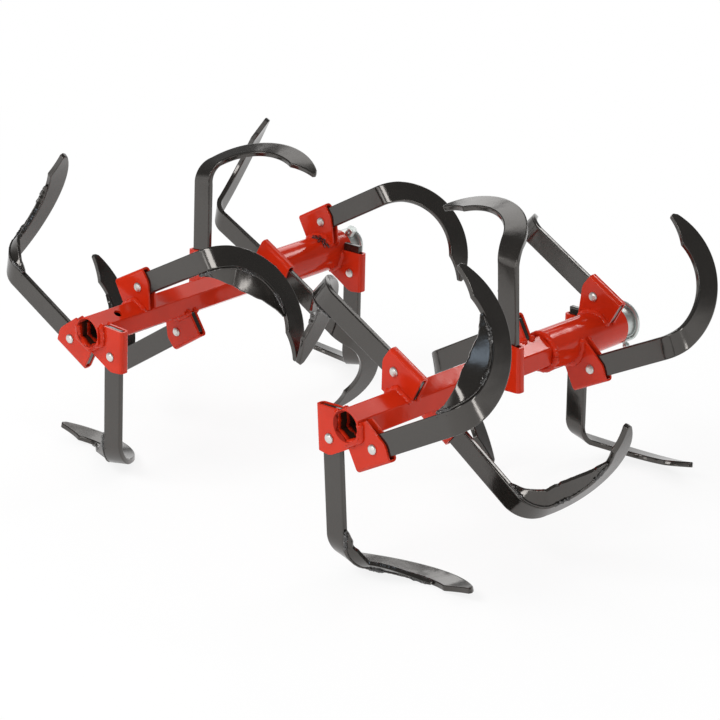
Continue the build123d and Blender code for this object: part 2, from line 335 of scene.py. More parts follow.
def bent(start, run, turns, share):
    """Frame after a share of a bend that turns at a steady rate."""
    spot, along, width, face = start
    spin = along * radians(turns[0]) + width * radians(turns[1]) + face * radians(turns[2])
    angle = spin.length
    axle = spin.normalized()
    straight = axle * along.dot(axle)
    side = along - straight
    move = straight * share
    move = move + side * (sin(angle * share) / angle)
    move = move + axle.cross(side) * ((1 - cos(angle * share)) / angle)
    turn = Quaternion(axle, angle * share)
    return spot + move * run, turn @ along, turn @ width, turn @ face


def bar_frame(blade, distance):
    """Middle of a bar and its three directions, in the tine's own frame."""
    begin = (Vector((blade.straight, 0, 0)), Vector((1, 0, 0)), Vector((0, 1, 0)), Vector((0, 0, 1)))
    if distance <= 0:
        return begin[0] + begin[1] * distance, *begin[1:]
    turned = bent(begin, blade.bend, blade.bend_turns, min(distance / blade.bend, 1))
    if distance <= blade.bend:
        return turned
    return bent(turned, blade.run, blade.run_turns, (distance - blade.bend) / blade.run)


def spread(first, last, count):
    return [first + (last - first) * k / (count - 1) for k in range(count)]


def rounded(before, corner, after, radius, count):
    """Points of an arc that rounds the corner between two straight edges."""
    one = (before - corner).normalized()
    two = (after - corner).normalized()
    half = one.angle(two) / 2
    middle = corner + (one + two).normalized() * (radius / sin(half))
    first = corner + one * (radius / tan(half)) - middle
    last = corner + two * (radius / tan(half)) - middle
    return [middle + first.lerp(last, share).normalized() * radius for share in spread(0, 1, count)]


def toned(tint, share=1.0):
    """Tint at a share of its brightness, with the fourth value that sockets ask for."""
    return (*[c * share for c in tint], 1)


class Wiring:
    """Adds nodes to a tree and links what is handed to them."""

    def __init__(self, tree):
        self.tree = tree

    def feed(self, sockets, inputs):
        for key, value in inputs.items():
            if isinstance(value, bpy.types.NodeSocket):
                self.tree.links.new(value, sockets[key])
            else:
                sockets[key].default_value = value

    def add(self, kind, *values, **named):
        """New node: inputs in order or by their names, which start with a capital, and settings."""
        node = self.tree.nodes.new(kind)
        inputs = dict(enumerate(values))
        for name, value in named.items():
            if name[0].isupper():
                inputs[name.replace("_", " ")] = value
            else:
                setattr(node, name, value)
        self.feed(node.inputs, inputs)
        return node

    def take(self, kind, *values, socket=0, **named):
        """One output of a new node."""
        return self.add(kind, *values, **named).outputs[socket]

    def geo(self, kind, *values, **named):
        return self.take("GeometryNode" + kind, *values, **named)

    def math(self, operation, *values, clamp=False):
        return self.take("ShaderNodeMath", *values, operation=operation, use_clamp=clamp)

    times = partialmethod(math, "MULTIPLY")
    plus = partialmethod(math, "ADD")
    minus = partialmethod(math, "SUBTRACT")
    over = partialmethod(math, "DIVIDE")
    most = partialmethod(math, "MAXIMUM")

    def vector(self, operation, *values):
        socket = "Value" if operation == "DISTANCE" else "Vector"
        return self.take("ShaderNodeVectorMath", *values, socket=socket, operation=operation)

    def scaled(self, value, factor):
        return self.take("ShaderNodeVectorMath", value, Scale=factor, operation="SCALE")

    def ramp(self, value, low, high, start=0.0, end=1.0):
        values = (value, low, high, start, end)
        return self.take("ShaderNodeMapRange", *values, interpolation_type="SMOOTHSTEP")

    def noise(self, vector, scale, detail=3.0, rough=0.55):
        inputs = {"Vector": vector, "Scale": scale, "Detail": detail, "Roughness": rough}
        return self.take("ShaderNodeTexNoise", socket="Fac", **inputs)

    def mix(self, factor, first, second):
        node = self.add("ShaderNodeMix", data_type="RGBA")
        self.feed(node.inputs, {0: factor, 6: first, 7: second})
        return node.outputs[2]

    def random(self, low, high, seed):
        node = self.add("FunctionNodeRandomValue", data_type="FLOAT", Seed=seed)
        self.feed(node.inputs, {2: low, 3: high})
        return node.outputs[1]

    def bump(self, height, strength, distance):
        return self.take("ShaderNodeBump", Height=height, Strength=strength, Distance=distance)


def node_group(name, kind, inputs, outputs):
    tree = bpy.data.node_groups.new(name, kind)
    for way, sockets in (("INPUT", inputs), ("OUTPUT", outputs)):
        for label, socket in sockets:
            tree.interface.new_socket(label, in_out=way, socket_type="NodeSocket" + socket)
    w = Wiring(tree)
    return w, w.add("NodeGroupInput").outputs, w.add("NodeGroupOutput").inputs


def geometry_group(name, *inputs):
    shape = ("Geometry", "Geometry")
    return node_group(name, "GeometryNodeTree", [shape, *inputs, ("Material", "Material")], [shape])


def finish_geometry(w, shape, source, target):
    shape = w.geo("SetShadeSmooth", w.geo("RealizeInstances", shape))
    w.feed(target, {"Geometry": w.geo("SetMaterial", shape, Material=source["Material"])})
    return w.tree


def named(w, name, kind="FLOAT"):
    return w.geo("InputNamedAttribute", name, socket="Attribute", data_type=kind)


def swept_bar_tree(name):
    """Skin over a row of rounded rectangular sections, one for each point of the input."""
    w, source, target = geometry_group(name, ("Sections", "Int"), ("Land", "Float"))
    columns = ring_columns + 1
    grid = w.geo("MeshGrid", socket="Mesh", Vertices_X=source["Sections"], Vertices_Y=columns)
    index = w.geo("InputIndex")
    row = w.math("FLOOR", w.over(w.plus(index, 0.5), columns))
    column = w.math("MODULO", w.minus(index, w.times(row, columns)), ring_columns)
    corner = w.math("FLOOR", w.over(w.plus(column, 0.5), corner_columns))
    step = w.minus(column, w.times(corner, corner_columns))
    share = w.over(w.minus(step, 1.0), arc_points - 1, clamp=True)
    turn = w.times(w.plus(corner, share), pi / 2)
    before = w.math("LESS_THAN", step, 0.5)
    after = w.math("GREATER_THAN", step, arc_points + 0.5)
    slide = w.times(w.minus(after, before), source["Land"])

    def at_row(value, kind="FLOAT"):
        inputs = {"Geometry": source["Geometry"], "Value": value, "Index": row}
        return w.geo("SampleIndex", socket="Value", data_type=kind, domain="POINT", **inputs)

    low, high, half, radius, close = [at_row(named(w, label)) for label in row_values]
    width, face = [at_row(named(w, label, "FLOAT_VECTOR"), "FLOAT_VECTOR") for label in row_ways]
    spot = at_row(w.geo("InputPosition"), "FLOAT_VECTOR")
    middle = w.times(w.plus(corner, 0.5), pi / 2)
    on_high = w.math("GREATER_THAN", w.math("COSINE", middle), 0.0)
    on_top = w.math("SIGN", w.math("SINE", middle))
    reach = w.minus(w.minus(high, low), w.times(radius, 2.0))
    centre = w.plus(w.plus(low, radius), w.times(on_high, reach))
    level = w.times(on_top, w.minus(half, radius))
    sine, cosine = w.math("SINE", turn), w.math("COSINE", turn)
    side = w.minus(w.times(radius, cosine), w.times(slide, sine))
    rise = w.plus(w.times(radius, sine), w.times(slide, cosine))
    mean = w.times(w.plus(low, high), 0.5)
    across = w.minus(w.plus(centre, side), mean)
    across = w.plus(mean, w.times(across, close))
    height = w.times(w.plus(level, rise), close)
    point = w.vector("ADD", spot, w.scaled(width, across))
    point = w.vector("ADD", point, w.scaled(face, height))
    edge = w.minus(1.0, w.plus(before, after))
    shape = w.geo("SetPosition", grid, Position=point)
    kind = {"data_type": "FLOAT", "domain": "POINT"}
    shape = w.geo("StoreNamedAttribute", shape, Name="edge", Value=edge, **kind)
    shape = w.geo("MergeByDistance", shape, Distance=same_point)
    return finish_geometry(w, w.geo("FlipFaces", shape), source, target)


def rivet_tree(name):
    """Round head on each point, turned to the point's axis and dented a little by the set."""
    inputs = (("Radius", "Float"), ("Height", "Float"), ("Seed", "Int"))
    w, source, target = geometry_group(name, *inputs)
    ball = w.geo("MeshUVSphere", socket="Mesh", Segments=28, Rings=18, Radius=1.0)
    spot = w.geo("InputPosition")
    place = w.add("ShaderNodeSeparateXYZ", spot).outputs
    lift = w.math("POWER", w.most(place["Z"], 0.0), dome_power)
    lift = w.times(lift, w.ramp(w.noise(spot, 1.7, 1.0), 0.3, 0.7, dent_share, 1.0))
    sides = [w.times(place[way], source["Radius"]) for way in "XY"]
    spot = w.take("ShaderNodeCombineXYZ", *sides, w.times(lift, source["Height"]))
    head = w.geo("SetPosition", ball, Position=spot)
    axis = named(w, "axis", "FLOAT_VECTOR")
    facing = w.take("FunctionNodeAlignRotationToVector", Vector=axis, axis="Z")
    spin = w.random(0.0, tau, source["Seed"])
    spin = w.take("FunctionNodeAxisAngleToRotation", Axis=(0, 0, 1), Angle=spin)
    facing = w.take("FunctionNodeRotateRotation", facing, spin, rotation_space="LOCAL")
    stretch = w.random(least_head, 1.0, w.plus(source["Seed"], 5.0))
    heads = {"Points": source["Geometry"], "Instance": head, "Rotation": facing, "Scale": stretch}
    return finish_geometry(w, w.geo("InstanceOnPoints", **heads), source, target)


def weld_tree(name):
    """Rippled bead along each path, thin at its two ends and uneven."""
    inputs = [(label, "Float") for label in ("Radius", "Pitch", "Ripple", "Lumps", "Grain", "Taper")]
    w, source, target = geometry_group(name, *inputs)
    path = w.geo("MeshToCurve", source["Geometry"])
    path = w.geo("ResampleCurve", path, mode="LENGTH", Length=w.over(source["Pitch"], ripple_steps))
    run = w.geo("SplineParameter", socket="Length")
    whole = w.geo("SplineLength", socket="Length")
    ending = w.math("MINIMUM", run, w.minus(whole, run))
    taper = w.over(ending, w.most(source["Taper"], 0.000001), clamp=True)
    taper = w.ramp(taper, 0.0, 1.0, thin_end, 1.0)
    kept = w.add("GeometryNodeCaptureAttribute", domain="POINT")
    kept.capture_items.new("FLOAT", "Run")
    w.feed(kept.inputs, {"Geometry": path, "Run": run})
    ring = w.geo("CurvePrimitiveCircle", mode="RADIUS", Resolution=12, Radius=source["Radius"])
    skin = {"Curve": kept.outputs["Geometry"], "Profile_Curve": ring, "Scale": taper, "Fill_Caps": True}
    skin = w.geo("CurveToMesh", **skin)
    spot = w.geo("InputPosition")
    wander = w.times(w.noise(spot, 260.0, 1.0), 1.6)
    phase = w.math("FRACT", w.plus(w.over(kept.outputs["Run"], source["Pitch"]), wander))
    slope = w.minus(w.times(phase, 2.0), 1.0)
    scallop = w.minus(1.0, w.math("POWER", slope, 2.0))
    lump = w.minus(w.noise(spot, source["Grain"], 2.0), 0.5)
    rise = w.plus(w.times(scallop, source["Ripple"]), w.times(lump, source["Lumps"]))
    skin = w.geo("SetPosition", skin, Offset=w.scaled(w.geo("InputNormal"), rise))
    return finish_geometry(w, skin, source, target)


def spatter_tree(name):
    """Round droplets thrown from the paths onto the surface of another piece."""
    floats = [(label, "Float") for label in ("Spacing", "Throw", "Size")]
    w, source, target = geometry_group(name, ("Surface", "Object"), *floats, ("Seed", "Int"))
    path = w.geo("MeshToCurve", source["Geometry"])
    dots = w.geo("CurveToPoints", path, socket="Points", mode="LENGTH", Length=source["Spacing"])
    kind = {"data_type": "FLOAT_VECTOR", "Seed": source["Seed"]}
    wide = w.take("FunctionNodeRandomValue", (-1, -1, -1), (1, 1, 1), **kind)
    thrown = w.geo("SetPosition", dots, Offset=w.scaled(wide, source["Throw"]))
    surface = w.geo("ObjectInfo", source["Surface"], socket="Geometry")
    near = w.geo("Proximity", surface, socket="Position", target_element="FACES")
    landed = w.geo("SetPosition", thrown, Position=near)
    drop = w.geo("MeshUVSphere", socket="Mesh", Segments=8, Rings=6, Radius=1.0)
    size = w.random(least_drop, 1.0, w.plus(source["Seed"], 3.0))
    size = w.times(w.math("POWER", size, 2.0), source["Size"])
    drops = w.geo("InstanceOnPoints", Points=landed, Instance=drop, Scale=size)
    return finish_geometry(w, drops, source, target)


def shared(name, build):
    """Node group of that name, built when it is first asked for."""
    return bpy.data.node_groups.get(name) or build(name)


def show(name, data):
    made = bpy.data.objects.new(name, data)
    bpy.context.scene.collection.objects.link(made)
    return made


def grown(name, mesh, tree, **values):
    """Plain mesh object that a geometry tree grows from a mesh."""
    seed = show(name + "_path", mesh)
    growth = seed.modifiers.new("Growth", "NODES")
    growth.node_group = tree
    for item in tree.interface.items_tree:
        if item.item_type == "SOCKET" and item.in_out == "INPUT" and item.name in values:
            growth[item.identifier] = values[item.name]
    seed.update_tag()
    bpy.context.view_layer.update()
    graph = bpy.context.evaluated_depsgraph_get()
    plain = bpy.data.meshes.new_from_object(seed.evaluated_get(graph), depsgraph=graph)
    seed.modifiers.remove(growth)
    bpy.data.objects.remove(seed)
    if not plain.polygons:
        raise RuntimeError(name + " came out empty")
    plain.name = name
    return show(name, plain)


def points_mesh(name, points, edges=(), **layers):
    """Points or paths that a tree grows from, with directions and values at the points."""
    mesh = bpy.data.meshes.new(name)
    mesh.from_pydata(points, edges, [])
    for label, values in layers.items():
        if isinstance(values[0], Vector):
            layer = mesh.attributes.new(label, "FLOAT_VECTOR", "POINT")
            layer.data.foreach_set("vector", [c for way in values for c in way])
        else:
            layer = mesh.attributes.new(label, "FLOAT", "POINT")
            layer.data.foreach_set("value", values)
    return mesh


def paths_mesh(name, paths, closed=False):
    points, edges = [], []
    for path in paths:
        first = len(points)
        points.extend(path)
        edges.extend((first + k, first + k + 1) for k in range(len(path) - 1))
        if closed:
            edges.append((len(points) - 1, first))
    return points_mesh(name + "_line", points, edges)


def swept(tine, part, ending, rows, land):
    """Black bar through rows of (middle, width way, face way, low, high, half, radius, close)."""
    name = tine.name(part)
    spots, *layers = zip(*rows)
    mesh = points_mesh(name + "_rows", spots, **dict(zip(row_ways + row_values, layers)))
    values = {"Sections": len(rows), "Land": land, "Material": finish("black_enamel")}
    made = grown(name + ending, mesh, shared("Swept bar", swept_bar_tree), **values)
    settle(made, tine.rotor.body, "black_paint", name)


def beads(rotor, name, paths, bead, closed=False):
    """Weld beads of one kind along the paths of a rotor."""
    sizes = bpy.context.scene.tine_sizes
    radius = sizes.weld_radius * bead.share
    values = {"Radius": radius, "Ripple": radius * bead.ripple, "Pitch": sizes.weld_pitch}
    values |= {"Lumps": bead.lumps, "Grain": bead.grain, "Taper": bead.taper}
    name = rotor.side + name
    tree = shared("Weld bead", weld_tree)
    made = grown(name, paths_mesh(name, paths, closed), tree, Material=finish(bead.paint), **values)
    settle(made, rotor.body, bead.slot)


def shader_group(name, inputs, outputs):
    """Group that takes coordinates and values, and puts out heights or masks."""
    inputs, outputs = [[(label, "Float") for label in labels] for labels in (inputs, outputs)]
    return node_group(name, "ShaderNodeTree", [("Vector", "Vector"), *inputs], outputs)


def cloud(w, source, size, detail, rough=0.55):
    """Noise of the size that a group is given."""
    return w.noise(source["Vector"], w.over(1.0, source[size]), detail, rough)


def orange_peel_group(name):
    """Height of sprayed enamel: a fine peel on a slow wave."""
    w, source, target = shader_group(name, ("Peel size", "Wave size", "Wave share"), ("Height",))
    peel = cloud(w, source, "Peel size", 2.0)
    wave = cloud(w, source, "Wave size", 1.0)
    w.feed(target, {"Height": w.plus(w.times(wave, source["Wave share"]), peel)})
    return w.tree


def smudge_group(name):
    """Soft patches of dust and handling, and fine specks, from 0 to 1."""
    w, source, target = shader_group(name, ("Patch size", "Speck size"), ("Patches", "Specks"))
    patch = cloud(w, source, "Patch size", 4.0, 0.6)
    speck = cloud(w, source, "Speck size", 2.0)
    w.feed(target, {"Patches": w.ramp(patch, 0.42, 0.72), "Specks": w.ramp(speck, 0.66, 0.74)})
    return w.tree


def edge_wear_group(name):
    """Broken mask along the marked edges of a bar."""
    w, source, target = shader_group(name, ("Edge", "Chip size", "Amount"), ("Mask",))
    chip = cloud(w, source, "Chip size", 4.0, 0.65)
    level = w.minus(0.86, w.times(source["Amount"], 0.4))
    chip = w.ramp(chip, level, w.plus(level, 0.05))
    w.feed(target, {"Mask": w.times(chip, w.ramp(source["Edge"], 0.55, 1.0))})
    return w.tree


def use_group(w, name, build, where, **sizes):
    return w.add("ShaderNodeGroup", node_tree=shared(name, build), Vector=where, **sizes).outputs


def enamel(w, where, look):
    """Sprayed gloss enamel: peel, smudges, a little dust and chips along the marked edges."""
    colour = getattr(bpy.context.scene.tine_colours, look.colour)
    smudge = use_group(w, "Smudges", smudge_group, where, Patch_size=0.055, Speck_size=0.0011)
    sizes = {"Peel_size": 0.003, "Wave_size": 0.021, "Wave_share": 9.0}
    peel = use_group(w, "Orange peel", orange_peel_group, where, **sizes)
    edge = w.take("ShaderNodeAttribute", socket="Fac", attribute_name="edge")
    sizes = {"Edge": edge, "Chip_size": 0.004, "Amount": look.wear}
    chips = use_group(w, "Edge wear", edge_wear_group, where, **sizes)["Mask"]
    tone = w.mix(w.ramp(w.noise(where, 22.0), 0.3, 0.7), toned(colour, look.deep), toned(colour))
    dust = [min(c * 1.1 + 0.004, 1) for c in colour]
    tone = w.mix(w.times(smudge["Patches"], 0.3), tone, toned(dust))
    tone = w.mix(w.times(smudge["Specks"], 0.25), tone, toned(colour, 0.6))
    gloss = w.ramp(smudge["Patches"], 0.0, 1.0, look.rough, look.rough + 0.06)
    height = w.minus(peel["Height"], w.times(chips, 1.5))
    return {
        "Base Color": w.mix(chips, tone, toned(look.chip)),
        "Roughness": w.plus(gloss, w.times(chips, 0.25)),
        "Metallic": w.times(chips, 0.8),
        "Specular IOR Level": look.mirror,
        "Specular Tint": toned(look.warmth),
        "Normal": w.bump(height, 0.2, 0.00012),
    }


def crust(w, where):
    """Lumpy glossy paint over a weld, with glints painted as light grey colour on the crests."""
    lumps = w.noise(where, 640.0)
    dark = toned(bpy.context.scene.tine_colours.black)
    return {
        # painted highlight: light grey colour on the lump crests stands in for glints
        "Base Color": w.mix(w.ramp(lumps, 0.63, 0.69), dark, painted_glint_grey),
        "Roughness": w.ramp(lumps, 0.3, 0.7, 0.04, 0.2),
        "Specular IOR Level": 1.0,
        "Normal": w.bump(lumps, 0.6, 0.0012),
    }


def plating(w, where, look):
    """Zinc plating: cloudy crystals, coloured film and dull patches."""
    colour = getattr(bpy.context.scene.tine_colours, look.colour)
    smudge = use_group(w, "Smudges", smudge_group, where, Patch_size=0.009, Speck_size=0.0008)
    film = w.noise(where, 95.0, 2.0, 0.5)
    tone = toned(colour)
    for level, tint in look.films:
        tone = w.mix(w.ramp(film, level, level + 0.12), tone, toned(tint))
    return {
        "Base Color": w.mix(w.times(smudge["Specks"], 0.5), tone, toned(colour, 0.45)),
        "Metallic": 0.35,
        "Roughness": w.ramp(smudge["Patches"], 0.0, 1.0, look.rough, look.rough + 0.16),
        "Normal": w.bump(w.noise(where, look.grain), 0.25, 0.0002),
    }


def bore_overspray_and_shade(w, where):
    """Inside of the tubes: red overspray at the mouth, and further in a dark tone that is bare steel
    with painted shade, darker with depth.
    """
    depth = w.take("ShaderNodeSeparateXYZ", where, socket="Y")
    depth = w.minus(depth, w.times(w.noise(where, 70.0), 0.012))
    # painted shade: the lining turns darker with depth into the tube
    tone = w.mix(w.ramp(depth, -0.004, 0.004), overspray, thin_spray_in_shade)
    tone = w.mix(w.ramp(depth, 0.0, 0.012), tone, bare_steel_in_shade)
    return {"Base Color": tone, "Roughness": 0.45, "Specular IOR Level": 0.15}


def burn(w, where):
    """Burnt spot where the paint came off a weld."""
    char = w.noise(where, 520.0)
    return {
        "Base Color": w.mix(w.ramp(char, 0.5, 0.62), soot, burnt_red),
        "Roughness": w.ramp(char, 0.4, 0.65, 0.06, 0.25),
        "Specular IOR Level": 1.0,
        "Normal": w.bump(char, 0.5, 0.0006),
    }


paints = {
    "red_enamel": (enamel, red_gloss),
    "black_enamel": (enamel, black_gloss),
    "rivet_zinc": (plating, rivet_film),
    "clip_zinc": (plating, clip_film),
    "weld_black": (crust,),
    "bore_finish": (bore_overspray_and_shade,),
    "scorched_weld": (burn,),
}


def new_finish(name):
    """Material with its wiring, its shader and the coordinates of the object."""
    material = bpy.data.materials.new(name)
    material.use_nodes = True
    w = Wiring(material.node_tree)
    shader = material.node_tree.nodes["Principled BSDF"]
    return material, w, shader, w.take("ShaderNodeTexCoord", socket="Object")


def finish(name):
    """Material of that name, painted when it is first asked for."""
    made = bpy.data.materials.get(name)
    if not made:
        made, w, shader, where = new_finish(name)
        paint, *look = paints[name]
        w.feed(shader.inputs, paint(w, where, *look))
    return made


def dress(node, material):
    mesh = frame["nodes"][node].data
    mesh.materials.clear()
    mesh.materials.append(material)


def settle(piece, body, slot, *nodes):
    """Keeps a piece within the solids' box, hangs it under its body and hides the nodes it stands for;
    the slot is not used.
    """
    for vertex in piece.data.vertices:
        vertex.co = [min(max(c, low), high) for c, low, high in zip(vertex.co, *cad_box)]
    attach(piece, body)
    if nodes:
        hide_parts(*nodes)


def bar_edges(distance, end, sizes):
    """Low and high edge of the bar, measured across its width from the middle."""
    half = sizes.bar_width / 2
    low, high = -half, half
    cut = distance - (end - sizes.tip_cut)
    if cut > 0:
        high = half - cut / sizes.tip_cut * (sizes.bar_width - sizes.tip_width)
    nick = distance - (end - sizes.tip_nick)
    if nick > 0:
        low = -half + nick / 2
    return low, high


def capped(first, middle, last, radius, steps, ahead=0.0):
    """Stops of (place, way ahead of it, inset, close) that round both ends of a bar."""
    turns = spread(0, pi / 2, steps)
    ends = [(radius * (1 - sin(turn)), radius * (1 - cos(turn))) for turn in turns]
    stops = [(first, -ahead, radius, 0.0)]
    stops += [(first, back - ahead, inset, 1.0) for back, inset in reversed(ends)]
    stops += [(stop, 0.0, 0.0, 1.0) for stop in middle]
    stops += [(last, ahead - back, inset, 1.0) for back, inset in ends]
    return [*stops, (last, ahead, radius, 0.0)]


def back_from(azimuth, elevation):
    """Way from the parts to a lamp or the camera."""
    return Vector((sin(azimuth) * cos(elevation), -cos(azimuth) * cos(elevation), sin(elevation)))


class TINE_OT_stage(bpy.types.Operator):
    """Floor, white surroundings, lamps and camera"""

    bl_idname = "tine.stage"
    bl_label = "Stage"

    def execute(self, context):
        self.lay_floor(context.scene.tine_colours.floor)
        self.light_world()
        self.hang_lamps()
        self.stand_camera(context.scene)
        context.scene.view_settings.view_transform = "Standard"
        return {"FINISHED"}

    def lay_floor(self, colour):
        """Floor that looks almost white to the camera, with a soft shadow round the parts."""
        level = cad_box[0][2]
        mesh = bpy.data.meshes.new("floor")
        corners = ((-1, -1), (1, -1), (1, 1), (-1, 1))
        corners = [(x * floor_reach, y * floor_reach, level) for x, y in corners]
        mesh.from_pydata(corners, [], [(0, 1, 2, 3)])
        material, w, shader, where = new_finish("studio_floor")
        tone = w.mix(w.noise(where, 3.0, 2.0), toned(colour, 0.985), toned(colour))
        w.feed(shader.inputs, {"Base Color": tone, "Roughness": 0.9, "Specular IOR Level": 0.0})
        glow = w.take("ShaderNodeEmission", Color=white, Strength=1.0)
        light = w.add("ShaderNodeLightPath").outputs
        away = w.vector("DISTANCE", where, (*stage_middle, level))
        seen = w.times(light["Is Camera Ray"], w.ramp(away, 0.6, 2.2, floor_near, 1.0))
        mirrored = w.times(light["Is Glossy Ray"], floor_mirrored)
        seen = w.most(seen, w.most(mirrored, light["Is Transmission Ray"]))
        blend = w.take("ShaderNodeMixShader", seen, shader.outputs[0], glow)
        w.feed(material.node_tree.nodes["Material Output"].inputs, {"Surface": blend})
        mesh.materials.append(material)
        show("floor", mesh)

    def light_world(self):
        """White all round for the eye, and a darker ceiling in what the paint mirrors."""
        world = bpy.data.worlds.new("studio")
        bpy.context.scene.world = world
        world.use_nodes = True
        w = Wiring(world.node_tree)
        light = w.add("ShaderNodeLightPath").outputs
        way = w.take("ShaderNodeTexCoord", socket="Object")
        rise = w.take("ShaderNodeSeparateXYZ", way, socket="Z")
        ceiling = w.ramp(rise, 0.02, 0.26, 0.45, -0.37)
        seen = w.most(light["Is Camera Ray"], light["Is Transmission Ray"])
        glow = w.plus(room_glow, w.times(seen, 1 - room_glow))
        glow = w.plus(glow, w.times(light["Is Glossy Ray"], ceiling))
        w.feed(world.node_tree.nodes["Background"].inputs, {"Color": white, "Strength": glow})

    def hang_lamps(self):
        aim = Vector((*stage_middle, aim_level))
        for box in lamps:
            elevation = radians(box.elevation)
            back = back_from(radians(box.azimuth), elevation)
            lamp = bpy.data.lights.new(box.name, "AREA")
            lamp.shape = "RECTANGLE"
            lamp.size = 2 * lamp_distance * tan(radians(box.width) / 2) * cos(elevation)
            lamp.size_y = 2 * lamp_distance * tan(radians(box.height) / 2)
            lamp.energy = watts_per_glow * box.glow * lamp.size * lamp.size_y
            lamp.color = box.tint
            stand = show(box.name, lamp)
            stand.location = aim + back * lamp_distance
            stand.rotation_euler = back.to_track_quat("Z", "Y").to_euler()
            stand.visible_camera = False
            stand.visible_glossy = box.lights != "matt"
            stand.visible_diffuse = box.lights != "gloss"

    def stand_camera(self, scene):
        look = scene.tine_view
        back = back_from(look.azimuth, look.elevation)
        right = Vector((cos(look.azimuth), sin(look.azimuth), 0))
        above = back.cross(right)
        camera = show("camera", bpy.data.cameras.new("camera"))
        camera.data.sensor_width = 36.0
        camera.data.lens = look.lens
        camera.location = right * look.aside + above * look.above + back * look.distance
        camera.rotation_euler = Matrix((right, above, back)).transposed().to_euler()
        scene.camera = camera


class TINE_OT_tubes(bpy.types.Operator):
    """Hexagon tubes and the sleeves over them"""

    bl_idname = "tine.tubes"
    bl_label = "Tubes and sleeves"

    def execute(self, context):
        for rotor in rotors:
            for part in ("_hex_tube", "_socket_sleeve"):
                dress(rotor.side + part, finish("red_enamel"))
            self.darken_bore(rotor)
            self.bead_sleeve(rotor, context.scene.tine_sizes)
        return {"FINISHED"}

    def darken_bore(self, rotor):
        """Other finish, darkened inwards as painted shade, on the faces of the tube that look at its
        middle.
        """
        mesh = frame["nodes"][rotor.side + "_hex_tube"].data
        mesh.materials.append(finish("bore_finish"))
        for face in mesh.polygons:
            arm = face.center - rotor.origin
            arm = arm - rotor.axle * arm.dot(rotor.axle)
            if face.normal.dot(arm) < -0.5 * arm.length:
                face.material_index = 1

    def bead_sleeve(self, rotor, sizes):
        """Bead that fills the step between the tube and the end of the sleeve."""
        middle = rotor.origin + rotor.axle * (sleeve_start - sleeve_weld_back)
        radius = sleeve_outer - sizes.weld_radius * sleeve_bead.share * sleeve_weld_sunk
        turns = [tau * k / sleeve_weld_points for k in range(sleeve_weld_points)]
        ring = [middle + (rotor.across * cos(turn) + up * sin(turn)) * radius for turn in turns]
        beads(rotor, "_sleeve_weld", [ring], sleeve_bead, closed=True)


class TINE_OT_collars(bpy.types.Operator):
    """Plated collars with their pins and wire bails"""

    bl_idname = "tine.collars"
    bl_label = "Collars and pins"

    def execute(self, context):
        for rotor in rotors:
            for part in ("_end_collar", "_clip_pin", "_clip_bail"):
                dress(rotor.side + part, finish("clip_zinc"))
        return {"FINISHED"}


class TINE_OT_tines(bpy.types.Operator):
    """Flat bars, bent and twisted into hooked blades"""

    bl_idname = "tine.tines"
    bl_label = "Tines"

    def execute(self, context):
        sizes = context.scene.tine_sizes
        for rotor in rotors:
            for tine in rotor.tines:
                swept(tine, "tine", "_bar", self.rows(tine, sizes), sizes.bar_edge)
        return {"FINISHED"}

    def rows(self, tine, sizes):
        blade = tine.blade
        begin = -blade.straight - tine.bar_root
        end = blade.bend + blade.run
        cut, nick = end - sizes.tip_cut, end - sizes.tip_nick
        # first and last section of each stretch, and how many there are
        stretches = (
            (begin + 0.004, -0.002, 12),
            (0.0, blade.bend, 15),
            (blade.bend + 0.003, cut, 34),
            (cut + 0.002, nick, 10),
        )
        middle = [distance for stretch in stretches for distance in spread(*stretch)]
        radius = sizes.bar_edge
        rows = []
        for distance, ahead, inset, close in capped(begin, middle, end, radius * end_round, 5):
            distance += ahead
            spot, along, width, face = tine.bar_frame(distance, sizes.bar_width)
            low, high = bar_edges(distance, end, sizes)
            half = sizes.bar_thick / 2 - inset
            shape = (low + inset, high - inset, half, max(radius - inset, least_radius), close)
            rows.append((spot, width, face * tine.rotor.hand, *shape))
        return rows


def wing_line(tine, sizes, shares):
    """Foot of a crescent plate on the bar: points, along, plate way, reach and distance."""
    end = tine.blade.bend + wing_end * tine.blade.run
    point = wing_start - wing_lead
    line = []
    for share in shares:
        distance = point + (end - point) * share
        spot, along, width, face = tine.bar_frame(distance, sizes.bar_width)
        turn = wing_phase + wing_sweep * (distance - wing_start) / (end - wing_start)
        reach = min(sizes.wing_width * sin(turn), point_width + (distance - point) * point_slope)
        way = width * cos(sizes.wing_slope) - face * sin(sizes.wing_slope)
        line.append((spot + width * (sizes.bar_width / 2), along, way.normalized(), reach, distance))
    return line


class TINE_OT_wings(bpy.types.Operator):
    """Crescent plates welded along the bend of the four near tines"""

    bl_idname = "tine.wings"
    bl_label = "Wings"

    def execute(self, context):
        sizes = context.scene.tine_sizes
        for rotor in rotors:
            for tine in rotor.tines[:winged]:
                swept(tine, "wing", "_plate", self.rows(tine, sizes), sizes.bar_edge * wing_land)
        return {"FINISHED"}

    def rows(self, tine, sizes):
        radius = sizes.bar_edge * wing_edge
        first, *middle, last = wing_line(tine, sizes, spread(0, 1, wing_sections))
        rows = []
        for stop, ahead, inset, close in capped(first, middle, last, radius * end_round, 4, radius):
            spot, along, way, reach, distance = stop
            across = along.cross(way).normalized()
            high = max(reach - self.torn(tine, distance) - inset, wing_least)
            thick = sizes.wing_thick * min(wing_thin + reach / sizes.wing_width, 1.0) / 2 - inset
            shape = (inset - wing_sunk, high, thick, max(radius - inset, least_radius), close)
            rows.append((spot + along * ahead, way, across, *shape))
        return rows

    def torn(self, tine, distance):
        """How much the flame cut took off the free edge: fine teeth, slow waves and a few nicks."""
        row = tine.index * 3.1 + tine.rotor.hand
        teeth = noise.noise(Vector((distance * teeth_pitch, row, 0))) * teeth_depth
        wave = noise.noise(Vector((distance * wave_pitch, row * 2, 4))) * wave_depth
        nick = noise.noise(Vector((distance * nick_pitch, row * 3, 9))) - nick_level
        return max(teeth + wave + max(nick, 0) * nick_depth + cut_depth, 0)


